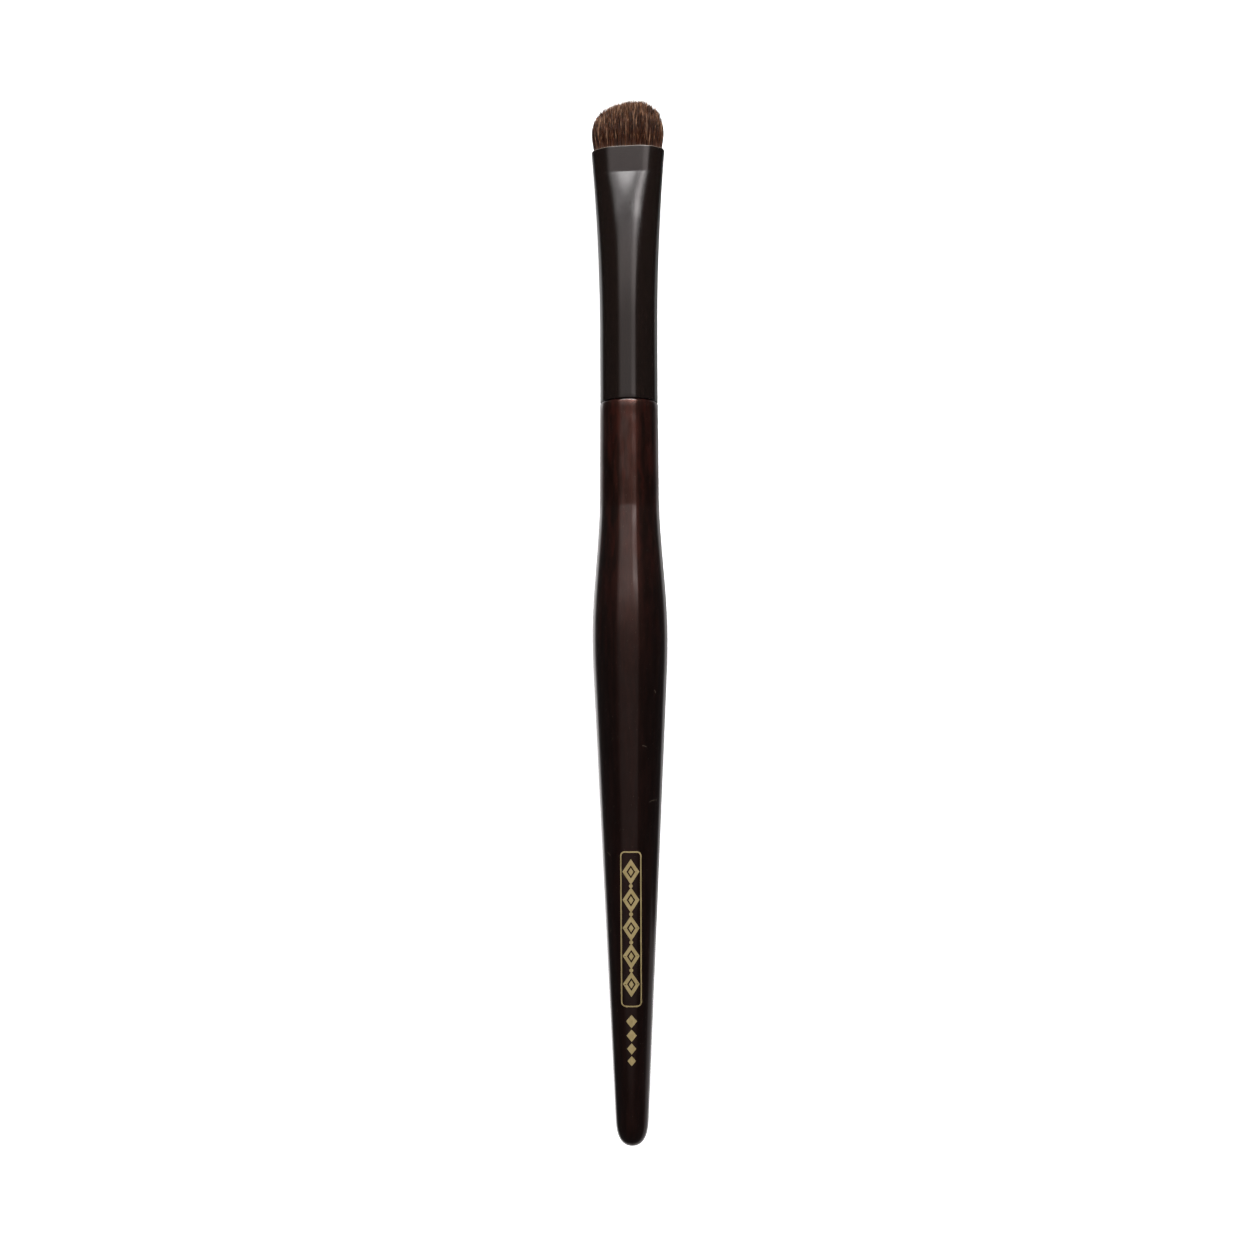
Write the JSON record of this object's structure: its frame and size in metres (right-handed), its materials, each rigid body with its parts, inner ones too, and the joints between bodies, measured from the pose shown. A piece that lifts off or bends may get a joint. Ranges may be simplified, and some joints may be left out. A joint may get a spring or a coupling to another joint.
{
  "type": "eyeshadow brush",
  "caption": "Flat domed eye make-up brush with a turned, lacquered wooden handle and a gloss black ferrule pressed flat at the mouth.",
  "frame": {"origin": "centre of the brush's box at its underside, the level at which the handle's belly touches a table", "axes": "+Y along the brush towards the bristles, +Z out of the upper pressed face of the ferrule, +X across the flat of the bristles"},
  "size_m": [0.011, 0.152, 0.0109],
  "materials": {
    "lacquered_wood": "clear gloss lacquer over dark brown stained wood",
    "black_ferrule": "gloss black coating on thin drawn metal",
    "hair": "fine dark brown hair with lighter tips",
    "binding_thread": "undyed waxed thread",
    "root_resin": "cast amber resin",
    "handle_glue": "dried cream glue"
  },
  "bodies": {
    "root": {"handle": "lacquered_wood", "ferrule": "black_ferrule", "bristles": "hair", "bristle_roots": "hair", "root_binding_thread": "binding_thread", "root_resin": "root_resin", "handle_glue": "handle_glue"}
  },
  "joints": []
}
